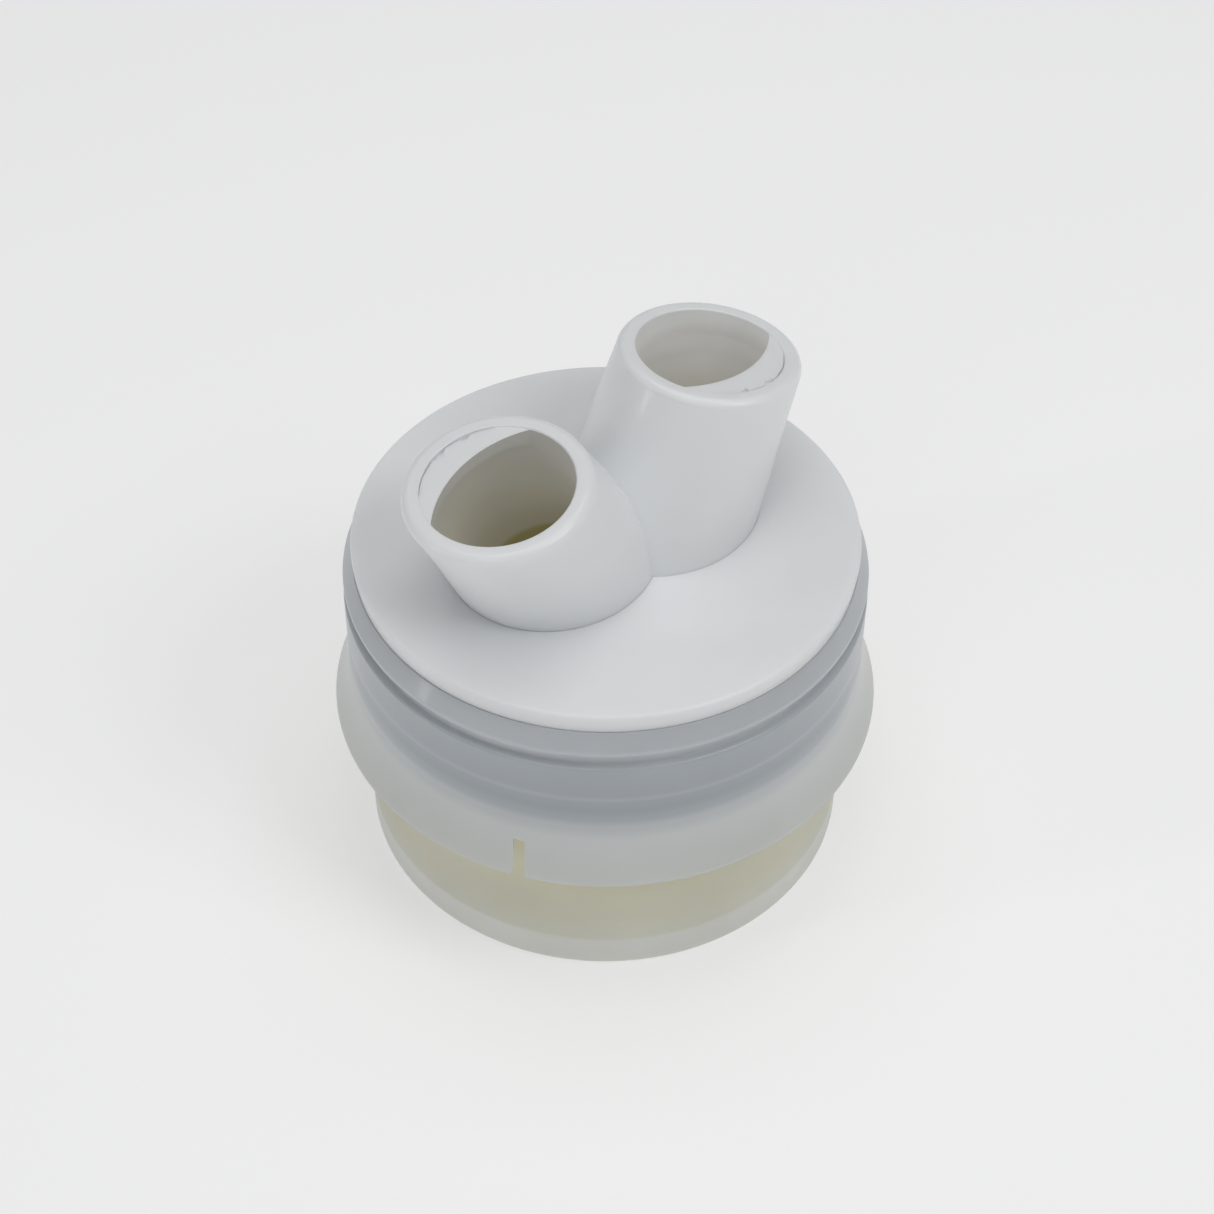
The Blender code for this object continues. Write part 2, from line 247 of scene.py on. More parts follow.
def finished(name, bm):
    """Make the bmesh an object with smooth sides and crisp edges."""
    bmesh.ops.recalc_face_normals(bm, faces=bm.faces)
    mesh = bpy.data.meshes.new(name)
    bm.to_mesh(mesh)
    bm.free()
    obj = bpy.data.objects.new(name, mesh)
    bpy.context.collection.objects.link(obj)
    smooth(obj)
    return obj


def smooth(obj):
    """Shade smooth, except across sharp edges."""
    obj.data.shade_smooth()
    obj.data.set_sharp_from_angle(angle=SHARP)


def turned(name, corners, steps=STEPS):
    """Turn a closed outline round Z. One that starts on the axis ends on it."""
    outline = rounded(corners)
    bm = bmesh.new()
    on_axis = [point.x < 1e-9 for point in outline]
    rings = []
    for point, pole in zip(outline, on_axis):
        if pole:
            rings.append([bm.verts.new((0, 0, point.y * MM))] * steps)
            continue
        ring = []
        for i in range(steps):
            angle = math.tau * i / steps
            place = Vector((point.x * math.cos(angle), point.x * math.sin(angle), point.y))
            ring.append(bm.verts.new(place * MM))
        rings.append(ring)
    pairs = list(zip(rings, rings[1:]))
    if not on_axis[0]:
        pairs.append((rings[-1], rings[0]))
    for low, high in pairs:
        for i in range(steps):
            j = (i + 1) % steps
            corners_of_face = []
            for vert in (low[i], low[j], high[j], high[i]):
                if vert not in corners_of_face:
                    corners_of_face.append(vert)
            bm.faces.new(corners_of_face)
    return finished(name, bm)


def lofted(name, rings):
    """Join rings of equal point count, in mm, by quads, and close both ends."""
    bm = bmesh.new()
    made = [[bm.verts.new(point * MM) for point in ring] for ring in rings]
    for low, high in zip(made, made[1:]):
        for i in range(len(low)):
            j = (i + 1) % len(low)
            bm.faces.new((low[i], low[j], high[j], high[i]))
    bm.faces.new(made[0])
    bm.faces.new(made[-1])
    return finished(name, bm)


def combined(target, other, operation):
    """Apply a Boolean to the target's mesh, and remove the other object."""
    modifier = target.modifiers.new(operation.lower(), "BOOLEAN")
    modifier.operation = operation
    modifier.object = other
    modifier.material_mode = "TRANSFER"
    graph = bpy.context.evaluated_depsgraph_get()
    mesh = bpy.data.meshes.new_from_object(target.evaluated_get(graph))
    target.modifiers.clear()
    target.data = mesh
    bpy.data.objects.remove(other)
    smooth(target)


def painted(obj, *mats):
    """Give an object its materials, of which its faces take the first."""
    for mat in mats:
        obj.data.materials.append(mat)
    return obj


def dressed(obj, body, slot, *nodes):
    """Give a finished piece its body, and hide the CAD nodes that it stands for. Its slot is not used.

    Its flat faces are shaded flat, since large faces have most weight in its normals.
    """
    weighted = obj.modifiers.new("flat faces", "WEIGHTED_NORMAL")
    weighted.keep_sharp = True
    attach(obj, body)
    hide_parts(*nodes)


# ---------------------------------------------------------------- materials

def srgb(red, green, blue):
    """A colour given as it looks on a screen, from 0 to 255, as the shader needs it."""
    return tuple(
        (value / 12.92 if value <= 0.04045 else ((value + 0.055) / 1.055) ** 2.4)
        for value in (red / 255, green / 255, blue / 255)
    )


SPECK_COLOUR = (0.25, 0.24, 0.22)
SPECK_SHARE = 0.1                   # of the cells that hold a speck
SPECK_STRENGTH = 0.45


class Finish:
    """A Principled material, and the procedural nodes that feed it."""

    def __init__(self, name, **sockets):
        self.material = bpy.data.materials.new(name)
        self.material.use_nodes = True
        self.tree = self.material.node_tree
        self.shader = self.tree.nodes["Principled BSDF"]
        self.where = self.tree.nodes.new("ShaderNodeTexCoord").outputs["Object"]
        self.shader.inputs["Subsurface Radius"].default_value = (1.0, 1.0, 1.0)
        for socket, value in sockets.items():
            self.shader.inputs[socket.replace("_", " ")].default_value = value

    def node(self, kind, inputs=(), **settings):
        """Add a node, with its settings made and each input linked or filled."""
        made = self.tree.nodes.new(kind)
        for setting, value in settings.items():
            setattr(made, setting, value)
        for socket, value in dict(inputs).items():
            if isinstance(value, bpy.types.NodeSocket):
                self.tree.links.new(value, made.inputs[socket])
            else:
                made.inputs[socket].default_value = value
        return made

    def noise(self, per_mm, detail=2.0, stretch=(1, 1, 1)):
        """Noise with this many lumps to the millimetre, squeezed by stretch along each axis."""
        place = self.node("ShaderNodeMapping", {"Vector": self.where, "Scale": stretch}).outputs[0]
        inputs = {"Vector": place, "Scale": per_mm / MM, "Detail": detail}
        return self.node("ShaderNodeTexNoise", inputs).outputs["Fac"]

    def height(self):
        """The height up the piece, in millimetres."""
        z = self.node("ShaderNodeSeparateXYZ", {"Vector": self.where}).outputs["Z"]
        return self.maths("MULTIPLY", z, 1 / MM)

    def plain(self, colour):
        """One colour, for the other nodes to shade."""
        made = self.node("ShaderNodeRGB")
        made.outputs[0].default_value = (*colour, 1.0)
        return made.outputs[0]

    def maths(self, operation, first, second):
        made = self.node("ShaderNodeMath", {0: first, 1: second}, operation=operation)
        return made.outputs[0]

    def spread(self, value, low, high, out_low, out_high):
        """Map low..high to out_low..out_high, and hold it there beyond."""
        names = ("Value", "From Min", "From Max", "To Min", "To Max")
        inputs = dict(zip(names, (value, low, high, out_low, out_high)))
        return self.node("ShaderNodeMapRange", inputs).outputs["Result"]

    def ramp(self, value, stops):
        """A colour for each value, with smooth steps between the stops of (value, colour)."""
        first, last = stops[0][0], stops[-1][0]
        share = self.spread(value, first, last, 0.0, 1.0)
        made = self.node("ShaderNodeValToRGB", {"Fac": share})
        made.color_ramp.interpolation = "EASE"
        while len(made.color_ramp.elements) < len(stops):
            made.color_ramp.elements.new(0.5)
        for element, (place, colour) in zip(made.color_ramp.elements, stops):
            element.position = (place - first) / (last - first)
            element.color = (*colour, 1.0)
        return made.outputs["Color"]

    def shaded(self, colour, value, least, most):
        """The colour, multiplied by between least and most as value goes from 0.3 to 0.7."""
        amount = self.spread(value, 0.3, 0.7, least, most)
        grey = self.node("ShaderNodeCombineColor", {"Red": amount, "Green": amount, "Blue": amount})
        mixed = self.node(
            "ShaderNodeMix",
            {"Factor": 1.0, "A": colour, "B": grey.outputs[0]},
            data_type="RGBA",
            blend_type="MULTIPLY",
        )
        return mixed.outputs["Result"]

    def specked(self, colour, per_mm, radius):
        """The colour, with a faint dark dot of this radius in mm in about one cell of ten."""
        inputs = {"Vector": self.where, "Scale": per_mm / MM}
        cells = self.node("ShaderNodeTexVoronoi", inputs).outputs
        reach = radius * per_mm
        near = self.spread(cells["Distance"], reach * 0.5, reach, 1.0, 0.0)
        lot = self.node("ShaderNodeSeparateColor", {0: cells["Color"]}).outputs[0]
        chosen = self.maths("GREATER_THAN", lot, 1 - SPECK_SHARE)
        dot = self.maths("MULTIPLY", self.maths("MULTIPLY", near, chosen), SPECK_STRENGTH)
        mixed = self.node(
            "ShaderNodeMix",
            {"Factor": dot, "A": colour, "B": (*SPECK_COLOUR, 1.0)},
            data_type="RGBA",
        )
        return mixed.outputs["Result"]

    def colour(self, value):
        self.tree.links.new(value, self.shader.inputs["Base Color"])

    def roughness(self, value, least, most):
        self.tree.links.new(self.spread(value, 0.3, 0.7, least, most), self.shader.inputs["Roughness"])

    def bump(self, *layers):
        """Bumps in order, each a (height value, depth in mm)."""
        normal = None
        for value, depth in layers:
            inputs = {"Height": value, "Strength": 1.0, "Distance": depth * MM}
            if normal:
                inputs["Normal"] = normal
            normal = self.node("ShaderNodeBump", inputs).outputs["Normal"]
        self.tree.links.new(normal, self.shader.inputs["Normal"])


WHITE = srgb(237, 239, 240)

# Stops of (height, colour) for the bores, with painted shade: the white plastic darkened toward each
# bore's bottom, and ochre at the bottom of the left one. The colours of a bore are the shader's own, not
# a screen's.
LEFT_BORE_SHADE_STOPS = (
    (DISC_TOP - 2.3, (0.16, 0.14, 0.07)),
    (DISC_TOP - 1.2, (0.25, 0.24, 0.21)),
    (DISC_TOP + 6.0, (0.32, 0.315, 0.30)),
    (LIP_TOP, (0.34, 0.34, 0.33)),
)
RIGHT_BORE_SHADE_STOPS = (
    (DISC_TOP - 1.2, (0.25, 0.24, 0.21)),
    (DISC_TOP + 6.5, (0.35, 0.35, 0.345)),
    (DISC_TOP + 9.0, (0.42, 0.42, 0.44)),
    (DISC_TOP + 11.0, (0.54, 0.54, 0.57)),
    (DISC_TOP + 13.2, (0.68, 0.69, 0.72)),
)
PAINTED_GLOW_STOPS = (                          # painted glow: emission that stands in for light coming through the port's wall
    (DISC_TOP - 2.3, (0.088, 0.078, 0.030)),
    (DISC_TOP - 1.2, (0.118, 0.108, 0.075)),
    (DISC_TOP + 4.5, (0.135, 0.127, 0.098)),
    (DISC_TOP + 8.0, (0.138, 0.133, 0.110)),
    (LIP_TOP, (0.140, 0.138, 0.126)),
)


def white_plastic():
    """Satin white moulding: faint cloudy shade, fine grain, polished patches and a few specks."""
    finish = Finish(
        "white plastic",
        Subsurface_Weight=0.4,
        Subsurface_Scale=0.0012,
        Coat_Weight=0.25,
        Coat_Roughness=0.14,
    )
    clouds = finish.noise(0.05, 3.0)
    polish = finish.noise(0.10, 3.0)
    cloudy = finish.shaded(finish.plain(WHITE), clouds, 0.97, 1.02)
    finish.colour(finish.specked(cloudy, 0.16, 0.06))
    finish.roughness(polish, 0.31, 0.43)
    finish.bump((finish.noise(1.2), 0.003), (polish, 0.015))
    return finish.material


def bore_plastic(name, stops):
    """The same plastic inside a port, dull, with painted shade from the stops, a faint random mottle, and
    a painted glow that stands in for light through the wall.
    """
    finish = Finish(name, Emission_Strength=1.0)
    mottle = finish.noise(0.12, 4.0)
    height = finish.height()
    # The ramp paints shade, darker toward the bore's bottom; the emission is a painted glow.
    finish.colour(finish.shaded(finish.ramp(height, stops), mottle, 0.92, 1.06))
    finish.tree.links.new(finish.ramp(height, PAINTED_GLOW_STOPS), finish.shader.inputs["Emission Color"])
    finish.roughness(mottle, 0.42, 0.60)
    finish.bump((finish.noise(1.2), 0.004), (mottle, 0.03))
    return finish.material


# The collar's colours by height: frosted and lighter down the skirt; darker up the wall, darkest at the
# inner ledge, painted shade of the hollow inside and the ledge showing through; the neck lighter, painted
# light against the groove's shade.
COLLAR_TONE_AND_SHADE_STOPS = (
    (SKIRT_END, srgb(190, 194, 195)),
    (SKIRT_END + 0.35, srgb(204, 206, 203)),
    (FLARE_TOP - 1.7, srgb(207, 210, 209)),
    (FLARE_TOP, srgb(193, 197, 199)),
    (FLARE_TOP + 1.3, srgb(170, 177, 182)),
    (FLARE_TOP + 2.5, srgb(162, 169, 174)),
    (FLARE_TOP + 3.6, srgb(167, 173, 179)),
    (FLARE_TOP + 4.1, srgb(177, 184, 189)),
    (FLARE_TOP + 4.6, srgb(170, 175, 181)),
    (NECK_END - 0.3, srgb(173, 180, 185)),
    (NECK_END + 0.1, srgb(204, 208, 212)),
    (COLLAR_TOP, srgb(204, 208, 212)),
)
RING_STOPS = (
    (RING_END, srgb(193, 197, 201)),
    (RING_TOP, srgb(193, 197, 201)),
)


def smoky_plastic(name, stops):
    """Milky, faintly blue plastic, coloured by height from the stops; on the collar it turns frosted down
    the skirt, and the stops hold painted shade and light.
    """
    finish = Finish(
        name, Subsurface_Weight=0.25, Subsurface_Scale=0.0012, Coat_Weight=0.25, Coat_Roughness=0.12
    )
    clouds = finish.noise(0.07, 3.0)
    grain = finish.noise(1.8)
    flow = finish.noise(0.10, 2.0, (1, 1, 3))
    height = finish.height()
    finish.colour(finish.shaded(finish.ramp(height, stops), clouds, 0.96, 1.03))
    finish.roughness(clouds, 0.31, 0.43)
    finish.bump((grain, 0.004), (flow, 0.006))
    return finish.material


# The silicone's cream colour by height, with painted shade and light: yellower up in the cove, shaded
# under the skirt, and whiter on the band at the bottom, lit from the floor.
PLUG_TONE_AND_SHADE_STOPS = (
    (PLUG_LOW, srgb(216, 217, 211)),
    (BAND_TOP - 0.6, srgb(219, 220, 214)),
    (BAND_TOP + 0.3, srgb(215, 215, 201)),
    (BAND_TOP + 3.0, srgb(215, 213, 193)),
    (WAIST_END, srgb(219, 215, 189)),
    (PLUG_TOP, srgb(214, 210, 183)),
)


def silicone(name, stops):
    """Soft cream-yellow rubber with a powdery skin."""
    finish = Finish(
        name, Subsurface_Weight=0.35, Subsurface_Scale=0.002, Sheen_Weight=0.08, Sheen_Roughness=0.4
    )
    finish.shader.inputs["Subsurface Radius"].default_value = (1.0, 0.85, 0.5)
    clouds = finish.noise(0.08, 4.0)
    grain = finish.noise(1.4, 3.0)
    dust = finish.noise(0.5, 5.0)
    finish.colour(finish.shaded(finish.ramp(finish.height(), stops), clouds, 0.96, 1.03))
    finish.roughness(dust, 0.42, 0.60)
    finish.bump((grain, 0.018), (clouds, 0.05))
    return finish.material


def natural_plastic():
    """Uncoloured moulding for the inner pieces, with faint flow marks."""
    finish = Finish("natural plastic", Subsurface_Weight=0.2, Subsurface_Scale=0.001)
    clouds = finish.noise(0.12, 3.0)
    flow = finish.noise(0.4, 2.0, (1, 1, 4))
    finish.colour(finish.shaded(finish.plain(srgb(222, 224, 220)), clouds, 0.94, 1.03))
    finish.roughness(flow, 0.32, 0.46)
    finish.bump((flow, 0.02), (finish.noise(2.5), 0.01))
    return finish.material


def seal_rubber():
    """Dark seal rubber with a dull, slightly dusty skin."""
    finish = Finish("seal rubber")
    dust = finish.noise(0.9, 5.0)
    finish.colour(finish.shaded(finish.plain(srgb(66, 68, 70)), dust, 0.85, 1.2))
    finish.roughness(dust, 0.55, 0.75)
    finish.bump((finish.noise(3.0, 3.0), 0.02))
    return finish.material


def clip_steel():
    """Spring steel with fine drawn lines round the piece."""
    finish = Finish("clip steel", Metallic=1.0)
    lines = finish.noise(0.8, 3.0, (1, 1, 14))
    finish.colour(finish.shaded(finish.plain(srgb(176, 178, 180)), lines, 0.88, 1.05))
    finish.roughness(lines, 0.30, 0.44)
    finish.bump((lines, 0.01))
    return finish.material


# ---------------------------------------------------------------- cap and ports

NORMAL = Vector((math.sin(MOUTH_TILT), 0, math.cos(MOUTH_TILT)))      # square to a mouth
OUTWARD = Vector((math.cos(MOUTH_TILT), 0, -math.sin(MOUTH_TILT)))


def port_axis(along):
    """The middle of a port, from 0 at the disc's top to 1 at the mouth."""
    base = Vector(
        (PORT_BASE_OUT * math.cos(PORT_BASE_TURN), PORT_BASE_OUT * math.sin(PORT_BASE_TURN), DISC_TOP)
    )
    mouth = Vector((PORT_MOUTH_OUT, 0, DISC_TOP + PORT_H - LIP_INSET))
    return base + (mouth - base) * along


def port_point(side, centre, angle, radius, lift=0.0):
    """A point round a port, its radius taken parallel to the mouth and its lift square to it."""
    across = OUTWARD * math.cos(angle) + Vector((0, 1, 0)) * math.sin(angle)
    point = centre + across * radius + NORMAL * lift
    return Vector((side * point.x, side * point.y, point.z))


def port_ring(side, centre, radius, lift=0.0):
    """A ring parallel to a port's mouth, whose radius may depend on the angle."""
    ring = []
    for i in range(PORT_STEPS):
        angle = math.tau * i / PORT_STEPS
        reach = radius(angle) if callable(radius) else radius
        ring.append(port_point(side, centre, angle, reach, lift))
    return ring


def shell_radius(along):
    """The cone's radius, from below the disc's top to where the lip's rounding starts."""
    share = (along - SHELL_LOW) / (1 - LIP_ROUND / PORT_H - SHELL_LOW)
    return PORT_BASE_R + (PORT_MOUTH_R - PORT_BASE_R) * share


def port_shell(side):
    """The port's outer cone, from inside the disc up to its rounded lip."""
    stations = (SHELL_LOW, 0.0, 0.3, 0.6)
    rings = [port_ring(side, port_axis(along), shell_radius(along)) for along in stations]
    for step in range(ARC_STEPS + 2):
        angle = math.pi / 2 * step / (ARC_STEPS + 1)
        radius = PORT_MOUTH_R - LIP_ROUND * (1 - math.cos(angle))
        rings.append(port_ring(side, port_axis(1), radius, LIP_ROUND * (math.sin(angle) - 1)))
    return lofted("port_shell", rings)


def crease_cutter(side):
    """A shallow pocket just wider than the port's base, which leaves a fine groove round it."""
    stations = (-0.3, 0.3)
    rings = [port_ring(side, port_axis(along), shell_radius(along) + CREASE_W) for along in stations]
    cutter = lofted("crease", rings)
    reach = DISC_R
    square = ((-reach, -reach), (reach, -reach), (reach, reach), (-reach, reach))
    levels = (DISC_TOP - CREASE_DEEP, DISC_TOP + 1)
    slab = lofted("slab", [[Vector((x, y, z)) for x, y in square] for z in levels])
    combined(cutter, slab, "INTERSECT")
    return cutter


def web_opening(angle):
    """The bore's radius where the web across the mouth has been cut away."""
    reach = BORE_MOUTH_R * WEB_ARC
    shift = BORE_MOUTH_R * (WEB_WIDTH + WEB_ARC - 1)
    turn = angle - WEB_DIRECTION
    arc = math.sqrt(reach**2 - (shift * math.sin(turn)) ** 2) - shift * math.cos(turn)
    return min(BORE_MOUTH_R - WEB_STEP, arc)


def web_edge_ring(side, step):
    """One ring of the web's rounded lower edge, from its widest at step 0 to the opening itself."""
    turn = math.pi / 2 * step / ARC_STEPS

    def radius(angle):
        opening = web_opening(angle)
        return opening + min(WEB_UNDER, BORE_MOUTH_R - opening) * (1 - math.sin(turn))

    return port_ring(side, port_axis(1), radius, WEB_UNDER * (1 - math.cos(turn)) - WEB_TOP - WEB_THICK)


def port_bore(side):
    """The cutter for a port's bore, which bends under the web left across its mouth."""
    mouth = port_axis(1)
    below = port_axis(-(DISC_THICK + 1) / PORT_H)
    above = mouth - NORMAL * (WEB_TOP + WEB_THICK)
    bend = above - NORMAL * BORE_BEND
    rings = []
    for step in range(BEND_STEPS + 1):
        share = step / BEND_STEPS
        centre = below.lerp(bend, share).lerp(bend.lerp(above, share), share)
        radius = BORE_MOUTH_R - (BORE_MOUTH_R - BORE_BASE_R) * (1 - share) ** BORE_TAPER
        rings.append(port_ring(side, centre, radius))
    rings += [web_edge_ring(side, step) for step in range(ARC_STEPS + 1)]
    rings.append(port_ring(side, mouth, web_opening, -WEB_TOP))
    # The faces below the lip take the bore's finish, with painted shade and glow.
    painted_shade_faces = (len(rings) - 1) * PORT_STEPS
    rings.append(port_ring(side, mouth, BORE_MOUTH_R, -WEB_TOP))
    for step in range(BORE_ROUND_STEPS + 1):
        angle = math.pi / 2 * step / BORE_ROUND_STEPS
        radius = BORE_MOUTH_R + BORE_ROUND * (1 - math.cos(angle))
        rings.append(port_ring(side, mouth, radius, BORE_ROUND * (math.sin(angle) - 1)))
    rings.append(port_ring(side, mouth, BORE_MOUTH_R + BORE_ROUND, 1))
    cutter = lofted("port_bore", rings)
    for face in cutter.data.polygons[:painted_shade_faces]:
        face.material_index = 1
    return cutter


def crevice(side):
    """The cutter for the fine gap between the web's torn edge and the lip."""
    mouth = port_axis(1)
    rings = []
    for (start, first), (end, second) in zip(TORN_EDGE, TORN_EDGE[1:]):
        count = max(1, round((end - start) / TORN_STEP))
        for i in range(count):
            share = i / count
            turn = start + (end - start) * share
            back = first + (second - first) * share
            fade = 1 - (turn / TORN_EDGE[0][0]) ** 4
            inner = BORE_MOUTH_R - CREVICE_W * fade - back
            outer = BORE_MOUTH_R + OVERLAP
            angle = WEB_DIRECTION + turn
            low, high = -WEB_TOP - CREVICE_DEEP, -WEB_TOP + CREVICE_RISE
            corners = ((inner, low), (outer, low), (outer, high), (inner, high))
            rings.append([port_point(side, mouth, angle, radius, lift) for radius, lift in corners])
    return lofted("crevice", rings)


def cap_body(outside, bore_shades):
    """The cap and its ports, outside of one finish and with a finish for each bore that holds painted
    shade and glow.
    """
    half_groove = ORING_GROOVE_H / 2
    oring_z = (ORING_LOW + ORING_TOP) / 2
    edge_low = DISC_TOP - DISC_EDGE_H
    ceiling = DISC_TOP - DISC_THICK
    cap = turned(
        "cap_with_ports",
        [
            (0, DISC_TOP),
            (DISC_R, DISC_TOP, DISC_ROUND),
            (DISC_R - DISC_EDGE_DRAFT, edge_low, 0.05),
            (SPIGOT_R, edge_low, 0.15),
            (SPIGOT_R, oring_z + half_groove, 0.15),
            (ORING_GROOVE_R, oring_z + half_groove, 0.2),
            (ORING_GROOVE_R, oring_z - half_groove, 0.2),
            (SPIGOT_R, oring_z - half_groove, 0.15),
            (SPIGOT_R, SPIGOT_END, 0.5),
            (SPIGOT_BORE_R, SPIGOT_END, 0.3),
            (SPIGOT_BORE_R, ceiling, 0.5),
            (0, ceiling),
        ],
    )
    painted(cap, outside)
    for side in (1, -1):
        combined(cap, painted(crease_cutter(side), outside), "DIFFERENCE")
    for side in (1, -1):
        combined(cap, painted(port_shell(side), outside), "UNION")
    for side, inside in zip((1, -1), bore_shades):
        combined(cap, painted(port_bore(side), outside, inside), "DIFFERENCE")
        combined(cap, painted(crevice(side), outside), "DIFFERENCE")
    return cap


def oring():
    middle = (ORING_LOW + ORING_TOP) / 2
    section = (ORING_TOP - ORING_LOW) / 2
    centre = ORING_R - section
    turns = [math.tau * i / ORING_STEPS for i in range(ORING_STEPS)]
    outline = [(centre + section * math.sin(t), middle + section * math.cos(t)) for t in turns]
    return turned("cap_o_ring", outline)


# ---------------------------------------------------------------- ring, collar and plug

def ring_body():
    return turned(
        "grey_lip_ring",
        [
            (RING_TOP_R, RING_TOP + CLOSER, 0.05),
            (RING_R, RING_END + 0.5, 0.6),
            (RING_R, RING_END, 0.2),
            (BORE_R, RING_END, 0.15),
            (BORE_R, RING_TOP + CLOSER, 0.15),
        ],
    )


def notch_cutter(angle):
    """A slot up the skirt, cut askew, and splayed on one side close to the edge."""
    levels = (
        (SKIRT_END - 1, NOTCH_SPLAY),
        (SKIRT_END + 0.2, NOTCH_SPLAY),
        (SKIRT_END + 0.8, 0.0),
        (NOTCH_TOP, 0.0),
    )
    out = Vector((math.cos(angle), math.sin(angle), 0))
    across = Vector((-math.sin(angle), math.cos(angle), 0))
    along = out * math.cos(NOTCH_SKEW) + across * math.sin(NOTCH_SKEW)
    inner = BORE_R - 0.6 - SKIRT_R
    rings = []
    for height, splay in levels:
        low, high = -NOTCH_W / 2 - splay, NOTCH_W / 2
        corners = ((inner, low), (1, low), (1, high), (inner, high))
        rings.append([out * SKIRT_R + along * x + across * y + UP * height for x, y in corners])
    return lofted("notch", rings)


def collar_body():
    flare = curve((WALL_R, FLARE_TOP), (SKIRT_R, SKIRT_END), FLARE_BEND)
    made = turned(
        "smoky_collar",
        [
            (NECK_R, COLLAR_TOP + CLOSER, 0.2),
            (NECK_R, NECK_END, 0.15),
            (WALL_R, NECK_END - 0.1, 0.3),
            *flare[:-1],
            (*flare[-1], 0.12),
            (SKIRT_R - SKIRT_LAND, SKIRT_END, 0.12),
            (SKIRT_R - RIM_RECESS_IN, RIM_RECESS_TOP - 0.6, 0.3),
            (BORE_R, RIM_RECESS_TOP, 0.2),
            (BORE_R, LEDGE_END, 0.25),
            (LEDGE_R, LEDGE_END, 0.25),
            (LEDGE_R, LEDGE_TOP, 0.25),
            (BORE_R, LEDGE_TOP, 0.25),
            (BORE_R, COLLAR_TOP + CLOSER, 0.25),
        ],
    )
    for turn in (0, math.pi):
        combined(made, notch_cutter(NOTCH_ANGLE + turn), "DIFFERENCE")
    return made


def plug_body():
    bore = CORE_R + GAP
    return turned(
        "silicone_plug",
        [
            (PLUG_NECK_R, PLUG_TOP, 0.4),
            *curve((PLUG_NECK_R, WAIST_END), (BAND_R, BAND_TOP), WAIST_BEND)[:-1],
            (BAND_R, BAND_TOP, 0.5),
            (BAND_R, PLUG_LOW, 0.8),
            (bore, PLUG_LOW, 0.3),
            (bore, BEAD_LOW - BEAD_SLOPE),
            (BEAD_R + GAP, BEAD_LOW),
            (BEAD_R + GAP, BEAD_HIGH + GAP),
            (bore, BEAD_HIGH + GAP),
            (bore, PLUG_TOP, 0.2),
        ],
    )


# ---------------------------------------------------------------- core and valve

def core_body():
    flange_low = PLUG_TOP + GAP
    groove_top = SNAP_TOP + GAP
    return turned(
        "core_tube",
        [
            (FLANGE_R, FLANGE_TOP, 0.3),
            (FLANGE_R, flange_low, 0.2),
            (CORE_R, flange_low, 0.3),
            (CORE_R, BEAD_HIGH),
            (BEAD_R, BEAD_HIGH, 0.25),
            (BEAD_R, BEAD_LOW, 0.3),
            (CORE_R, BEAD_LOW - BEAD_SLOPE),
            (CORE_R, CORE_END, 0.4),
            (CORE_BORE_R, CORE_END, 0.4),
            (CORE_BORE_R, POCKET_FLOOR, 0.2),
            (POCKET_R, POCKET_FLOOR, 0.2),
            (POCKET_R, SEAT_TOP),
            (SNAP_GROOVE_R, SEAT_TOP),
            (SNAP_GROOVE_R, groove_top),
            (POCKET_R, groove_top, 0.15),
            (POCKET_R, FLANGE_TOP, 0.4),
        ],
    )


def gasket_body():
    inner = CORE_BORE_R + 0.1
    return turned(
        "flat_seat_gasket",
        [
            (GASKET_R, GASKET_TOP, 0.15),
            (GASKET_R, GASKET_LOW, 0.15),
            (inner, GASKET_LOW, 0.15),
            (inner, GASKET_TOP, 0.15),
        ],
    )


def split_cutter(inner, outer, width, low, high):
    """A block along +X that opens a ring."""
    half = width / 2
    corners = ((inner, -half), (outer, -half), (outer, half), (inner, half))
    return lofted("split", [[Vector((x, y, z)) for x, y in corners] for z in (low, high)])


def snap_ring_body():
    ring = turned(
        "steel_snap_ring",
        [
            (SNAP_R, SNAP_TOP, 0.12),
            (SNAP_R, SNAP_LOW, 0.12),
            (SNAP_BORE_R, SNAP_LOW, 0.12),
            (SNAP_BORE_R, SNAP_TOP, 0.12),
        ],
    )
    cutter = split_cutter(SNAP_BORE_R - 1, SNAP_R + 1, SNAP_SPLIT, SNAP_LOW - 1, SNAP_TOP + 1)
    combined(ring, cutter, "DIFFERENCE")
    return ring


def vent_cutter(index):
    """A vent's hole, with its edges softened at both faces of the seat."""
    angle = math.tau * (index + 0.5) / VENT_COUNT
    centre = Vector((math.cos(angle), math.sin(angle), 0)) * VENT_CIRCLE
    levels = (
        (SEAT_LOW - 1, VENT_ROUND + 0.6),
        (SEAT_LOW, VENT_ROUND),
        (SEAT_LOW + VENT_ROUND, 0.0),
        (SEAT_TOP - VENT_ROUND, 0.0),
        (SEAT_TOP, VENT_ROUND),
        (SEAT_TOP + 1, VENT_ROUND + 0.6),
    )
    turns = [math.tau * i / VENT_STEPS for i in range(VENT_STEPS)]
    rings = []
    for height, extra in levels:
        reach = VENT_R + extra
        rings.append([centre + Vector((reach * math.cos(t), reach * math.sin(t), height)) for t in turns])
    return lofted("vent", rings)


def seat_body():
    seat = turned(
        "vented_valve_seat",
        [
            (SEAT_R, SEAT_TOP, 0.2),
            (SEAT_R, SEAT_LOW, 0.2),
            (HUB_R, SEAT_LOW, 0.5),
            (HUB_R, HUB_END, 0.4),
            (GUIDE_R, HUB_END, 0.2),
            (GUIDE_R, SEAT_TOP, 0.2),
        ],
        SMALL_STEPS,
    )
    for index in range(VENT_COUNT):
        combined(seat, vent_cutter(index), "DIFFERENCE")
    return seat


